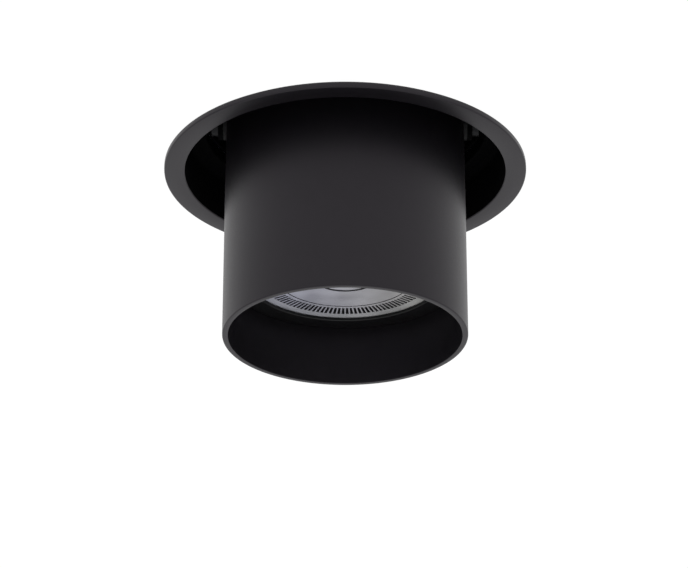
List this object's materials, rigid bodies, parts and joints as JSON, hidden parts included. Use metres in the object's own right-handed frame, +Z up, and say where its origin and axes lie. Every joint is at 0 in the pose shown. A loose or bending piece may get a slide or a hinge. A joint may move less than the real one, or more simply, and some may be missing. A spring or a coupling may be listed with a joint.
{
  "type": "soffit downlight",
  "caption": "Recessed round downlight for a soffit: slim trim ring, projecting tube that swivels and tilts, recessed twist-fit lamp, spring clips and a closed can with a terminal box.",
  "frame": {"origin": "on the tube's axis, in the plane of the soffit's lower face, where the seal behind the flange meets it", "axes": "+Z up into the soffit, so the light shines along -Z; X along the tilt axis and through the two spring clips; the cable gland points along +Y"},
  "size_m": [0.1338, 0.09, 0.1183],
  "materials": {
    "black_coat": "satin powder coat",
    "black_foam": "closed-cell foam",
    "zinc_plate": "zinc plated",
    "zinc_screw": "bright zinc plated",
    "rivet_alloy": "plain",
    "spring_steel": "rolled",
    "spring_wire": "drawn",
    "black_rubber": "matt",
    "brass": "turned",
    "red_fibre": "pressed fibre",
    "black_moulding": "fine texture",
    "white_moulding": "moulded",
    "black_screw": "blackened",
    "black_nylon": "moulded",
    "ceramic": "unglazed ceramic",
    "black_ring": "satin",
    "lamp_casting": "satin",
    "plated_pin": "nickel plated",
    "clear_lens": "clear moulded",
    "white_board": "solder mask",
    "phosphor": "resin",
    "green_board": "solder mask"
  },
  "bodies": {
    "housing": {"trim_ring": "black_coat", "soffit_gasket": "black_foam", "can": "zinc_plate", "can_seal": "black_foam", "can_screws": "zinc_screw", "clip_bracket_left": "zinc_plate", "clip_bracket_right": "zinc_plate", "clip_rivets": "rivet_alloy", "clip_pin_left": "zinc_screw", "clip_pin_right": "zinc_screw", "clip_spring_left": "spring_wire", "clip_spring_right": "spring_wire", "swivel_nipple": "brass", "nipple_nut": "brass", "disc_spring": "spring_steel", "fibre_washer": "red_fibre", "terminal_box": "black_moulding", "terminal_lid": "black_moulding", "lid_screws": "zinc_screw", "terminal_block": "white_moulding", "terminal_clamps": "brass", "gland_body": "black_moulding", "gland_nut": "black_moulding", "gland_seal": "black_rubber", "gland_locknut": "black_moulding"},
    "swivel": {"yoke": "black_coat", "earth_screw": "brass"},
    "spot_head": {"tube": "black_coat", "tube_cap": "zinc_plate", "cap_rivets": "rivet_alloy", "pivot_inserts": "zinc_screw", "pivot_screws": "black_screw", "saddle_washers": "black_nylon", "holder_bracket": "zinc_plate", "bracket_screws": "zinc_screw", "lampholder": "ceramic", "holder_contacts": "brass", "holder_screws": "zinc_screw"},
    "lamp_ring": {"retaining_ring": "black_ring"},
    "lamp": {"lamp_shell": "lamp_casting", "lamp_cap": "white_moulding", "lamp_pins": "plated_pin", "lamp_lens": "clear_lens", "led_board": "white_board", "led_chip": "phosphor", "lamp_driver": "green_board"},
    "clip_left": {"clip_arm_left": "spring_steel", "clip_sleeve_left": "black_rubber"},
    "clip_right": {"clip_arm_right": "spring_steel", "clip_sleeve_right": "black_rubber"}
  },
  "joints": [
    {"name": "swivel", "type": "hinge", "parent": "housing", "child": "swivel", "pos_m": [0, 0, 0], "axis": [0, 0, 1], "range_deg": [-165, 165]},
    {"name": "tilt", "type": "hinge", "parent": "swivel", "child": "spot_head", "pos_m": [0, 0, 0.0129], "axis": [1, 0, 0], "range_deg": [-20, 20]},
    {"name": "clip_left_fold", "type": "hinge", "parent": "housing", "child": "clip_left", "pos_m": [-0.03868, 0, 0.024], "axis": [0, 1, 0], "range_deg": [0, 145], "stiffness_Nm_per_rad": 0.02, "springref_deg": -114.59, "deforming": ["clip_spring_left"]},
    {"name": "clip_right_fold", "type": "hinge", "parent": "housing", "child": "clip_right", "pos_m": [0.03868, 0, 0.024], "axis": [0, -1, 0], "range_deg": [0, 145], "stiffness_Nm_per_rad": 0.02, "springref_deg": -114.59, "deforming": ["clip_spring_right"]},
    {"name": "lamp_twist", "type": "hinge", "parent": "spot_head", "child": "lamp", "pos_m": [0, 0, 0], "axis": [0, 0, 1], "range_deg": [0, 30]},
    {"name": "ring_pull", "type": "slide", "parent": "spot_head", "child": "lamp_ring", "axis": [0, 0, -1], "range_m": [0, 0.03]}
  ]
}
